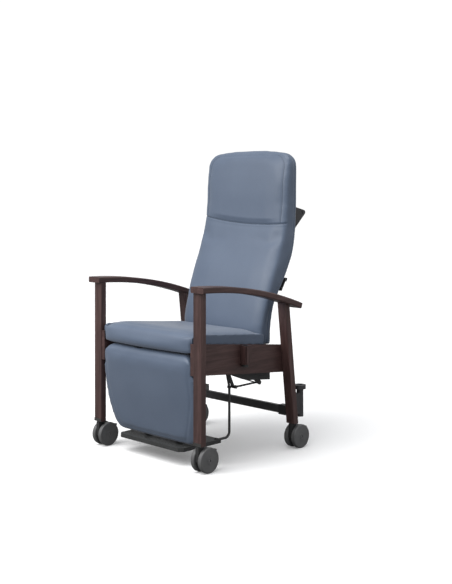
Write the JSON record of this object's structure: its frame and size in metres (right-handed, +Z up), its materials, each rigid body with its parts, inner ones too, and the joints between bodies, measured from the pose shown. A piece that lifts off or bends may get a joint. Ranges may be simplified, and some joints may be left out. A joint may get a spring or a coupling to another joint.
{
  "type": "patient recliner chair",
  "caption": "High-back reclining care chair with wooden side frames on twin-wheel casters, raked seat, push handle, and a rising legrest with a level footplate.",
  "frame": {"origin": "on the floor, at the centre of the overall box in plan", "axes": "+Z up, the chair faces -Y, +X is the sitter's left"},
  "size_m": [0.669, 0.7352, 1.198],
  "materials": {
    "wood": "dark walnut stain, satin lacquer",
    "vinyl": "satin blue-grey vinyl, fine grain",
    "board": "raw plywood",
    "black_metal": "black powder coat",
    "bright_steel": "brushed",
    "black_plastic": "moulded, fine texture",
    "wheel": "dark grey moulded wheel and tread"
  },
  "bodies": {
    "frame": {"front_leg_left": "wood", "front_leg_right": "wood", "rear_leg_left": "wood", "rear_leg_right": "wood", "armrest_left": "wood", "armrest_right": "wood", "side_rail_left": "wood", "side_rail_right": "wood", "tray_sockets": "wood", "tray_sleeves": "black_plastic", "bright_fittings": "bright_steel", "rear_stretcher": "black_metal", "stretcher_brackets": "black_plastic", "pole_holder": "black_plastic", "seat_side_tubes": "black_metal", "seat_cross_tubes": "black_metal", "seat_board": "board", "seat_cushion": "vinyl", "spring_brackets": "black_metal", "pivot_pins": "bright_steel", "mechanism_housing": "black_metal", "back_spring_cylinder": "black_metal", "legrest_spring_cylinder": "black_metal"},
    "back": {"back_pivot_tube": "black_metal", "back_frame": "black_metal", "back_shell": "vinyl", "back_cushion": "vinyl", "handle_brackets": "black_metal", "handle_grip": "black_metal"},
    "recline_lever": {"recline_lever": "black_plastic"},
    "back_spring_rod": {"back_spring_rod": "bright_steel"},
    "legrest": {"legrest_tube": "black_metal", "legrest_bars": "black_metal", "legrest_board": "board", "legrest_pad": "vinyl"},
    "footplate": {"footplate": "black_plastic"},
    "foot_levers": {"foot_levers": "black_metal"},
    "rocker": {"rocker_arm": "black_metal"},
    "link_rod": {"link_rod": "black_metal"},
    "legrest_spring_rod": {"legrest_spring_rod": "bright_steel"},
    "front_left_caster": {"front_left_caster_fork": "black_plastic", "front_left_caster_axle": "bright_steel"},
    "front_left_wheel_inner": {"front_left_wheel_inner": "wheel"},
    "front_left_wheel_outer": {"front_left_wheel_outer": "wheel"},
    "front_left_pedal": {"front_left_brake_pedal": "black_plastic"},
    "front_right_caster": {"front_right_caster_fork": "black_plastic", "front_right_caster_axle": "bright_steel"},
    "front_right_wheel_inner": {"front_right_wheel_inner": "wheel"},
    "front_right_wheel_outer": {"front_right_wheel_outer": "wheel"},
    "front_right_pedal": {"front_right_brake_pedal": "black_plastic"},
    "rear_left_caster": {"rear_left_caster_fork": "black_plastic", "rear_left_caster_axle": "bright_steel"},
    "rear_left_wheel_inner": {"rear_left_wheel_inner": "wheel"},
    "rear_left_wheel_outer": {"rear_left_wheel_outer": "wheel"},
    "rear_left_pedal": {"rear_left_brake_pedal": "black_plastic"},
    "rear_right_caster": {"rear_right_caster_fork": "black_plastic", "rear_right_caster_axle": "bright_steel"},
    "rear_right_wheel_inner": {"rear_right_wheel_inner": "wheel"},
    "rear_right_wheel_outer": {"rear_right_wheel_outer": "wheel"},
    "rear_right_pedal": {"rear_right_brake_pedal": "black_plastic"}
  },
  "joints": [
    {"name": "back_recline", "type": "hinge", "parent": "frame", "child": "back", "pos_m": [0, 0.068, 0.4], "axis": [-1, 0, 0], "range_deg": [0, 40]},
    {"name": "legrest_lift", "type": "hinge", "parent": "frame", "child": "legrest", "pos_m": [0, -0.33, 0.398], "axis": [-1, 0, 0], "range_deg": [0, 65]},
    {"name": "foot_lever_swing", "type": "hinge", "parent": "frame", "child": "foot_levers", "pos_m": [0, -0.208, 0.382], "axis": [-1, 0, 0], "range_deg": [0, 65]},
    {"name": "footplate_level", "type": "hinge", "parent": "legrest", "child": "footplate", "pos_m": [0, -0.258, 0.082], "axis": [-1, 0, 0], "range_deg": [-65, 0]},
    {"name": "rocker_swing", "type": "hinge", "parent": "frame", "child": "rocker", "pos_m": [0, -0.08, 0.384], "axis": [-1, 0, 0], "range_deg": [0, 65]},
    {"name": "link_turn", "type": "hinge", "parent": "rocker", "child": "link_rod", "pos_m": [0, 0.078, 0.264], "axis": [-1, 0, 0], "range_deg": [-65, 0]},
    {"name": "back_spring_stroke", "type": "slide", "parent": "frame", "child": "back_spring_rod", "axis": [0, 1, 0.0032], "range_m": [-0.0347, 0]},
    {"name": "legrest_spring_stroke", "type": "slide", "parent": "frame", "child": "legrest_spring_rod", "axis": [0, -0.9976, 0.0687], "range_m": [0, 0.0301]},
    {"name": "recline_lever_pull", "type": "hinge", "parent": "back", "child": "recline_lever", "pos_m": [0.211, 0.2, 0.672], "axis": [1, 0, 0], "range_deg": [0, 25], "stiffness_Nm_per_rad": 0.05, "springref_deg": -11.46},
    {"name": "front_left_swivel", "type": "hinge", "parent": "frame", "child": "front_left_caster", "pos_m": [0.2895, -0.342, 0.101], "axis": [0, 0, 1], "continuous": true},
    {"name": "front_left_inner_roll", "type": "hinge", "parent": "front_left_caster", "child": "front_left_wheel_inner", "pos_m": [0.2895, -0.316, 0.047], "axis": [-1, 0, 0], "continuous": true},
    {"name": "front_left_outer_roll", "type": "hinge", "parent": "front_left_caster", "child": "front_left_wheel_outer", "pos_m": [0.2895, -0.316, 0.047], "axis": [-1, 0, 0], "continuous": true},
    {"name": "front_left_brake", "type": "hinge", "parent": "front_left_caster", "child": "front_left_pedal", "pos_m": [0.2895, -0.29, 0.066], "axis": [-1, 0, 0], "range_deg": [0, 15]},
    {"name": "front_right_swivel", "type": "hinge", "parent": "frame", "child": "front_right_caster", "pos_m": [-0.2895, -0.342, 0.101], "axis": [0, 0, 1], "continuous": true},
    {"name": "front_right_inner_roll", "type": "hinge", "parent": "front_right_caster", "child": "front_right_wheel_inner", "pos_m": [-0.2895, -0.316, 0.047], "axis": [-1, 0, 0], "continuous": true},
    {"name": "front_right_outer_roll", "type": "hinge", "parent": "front_right_caster", "child": "front_right_wheel_outer", "pos_m": [-0.2895, -0.316, 0.047], "axis": [-1, 0, 0], "continuous": true},
    {"name": "front_right_brake", "type": "hinge", "parent": "front_right_caster", "child": "front_right_pedal", "pos_m": [-0.2895, -0.29, 0.066], "axis": [-1, 0, 0], "range_deg": [0, 15]},
    {"name": "rear_left_swivel", "type": "hinge", "parent": "frame", "child": "rear_left_caster", "pos_m": [0.2895, 0.173, 0.101], "axis": [0, 0, 1], "continuous": true},
    {"name": "rear_left_inner_roll", "type": "hinge", "parent": "rear_left_caster", "child": "rear_left_wheel_inner", "pos_m": [0.2895, 0.199, 0.047], "axis": [-1, 0, 0], "continuous": true},
    {"name": "rear_left_outer_roll", "type": "hinge", "parent": "rear_left_caster", "child": "rear_left_wheel_outer", "pos_m": [0.2895, 0.199, 0.047], "axis": [-1, 0, 0], "continuous": true},
    {"name": "rear_left_brake", "type": "hinge", "parent": "rear_left_caster", "child": "rear_left_pedal", "pos_m": [0.2895, 0.225, 0.066], "axis": [-1, 0, 0], "range_deg": [0, 15]},
    {"name": "rear_right_swivel", "type": "hinge", "parent": "frame", "child": "rear_right_caster", "pos_m": [-0.2895, 0.173, 0.101], "axis": [0, 0, 1], "continuous": true},
    {"name": "rear_right_inner_roll", "type": "hinge", "parent": "rear_right_caster", "child": "rear_right_wheel_inner", "pos_m": [-0.2895, 0.199, 0.047], "axis": [-1, 0, 0], "continuous": true},
    {"name": "rear_right_outer_roll", "type": "hinge", "parent": "rear_right_caster", "child": "rear_right_wheel_outer", "pos_m": [-0.2895, 0.199, 0.047], "axis": [-1, 0, 0], "continuous": true},
    {"name": "rear_right_brake", "type": "hinge", "parent": "rear_right_caster", "child": "rear_right_pedal", "pos_m": [-0.2895, 0.225, 0.066], "axis": [-1, 0, 0], "range_deg": [0, 15]}
  ],
  "couplings": [
    {"joint": "foot_lever_swing", "follows": "legrest_lift", "ratio": 1},
    {"joint": "footplate_level", "follows": "legrest_lift", "ratio": -1},
    {"joint": "rocker_swing", "follows": "legrest_lift", "ratio": 1},
    {"joint": "link_turn", "follows": "legrest_lift", "ratio": -1},
    {"joint": "back_spring_stroke", "follows": "back_recline", "m_per_rad": -0.049},
    {"joint": "legrest_spring_stroke", "follows": "legrest_lift", "m_per_rad": 0.0261}
  ]
}
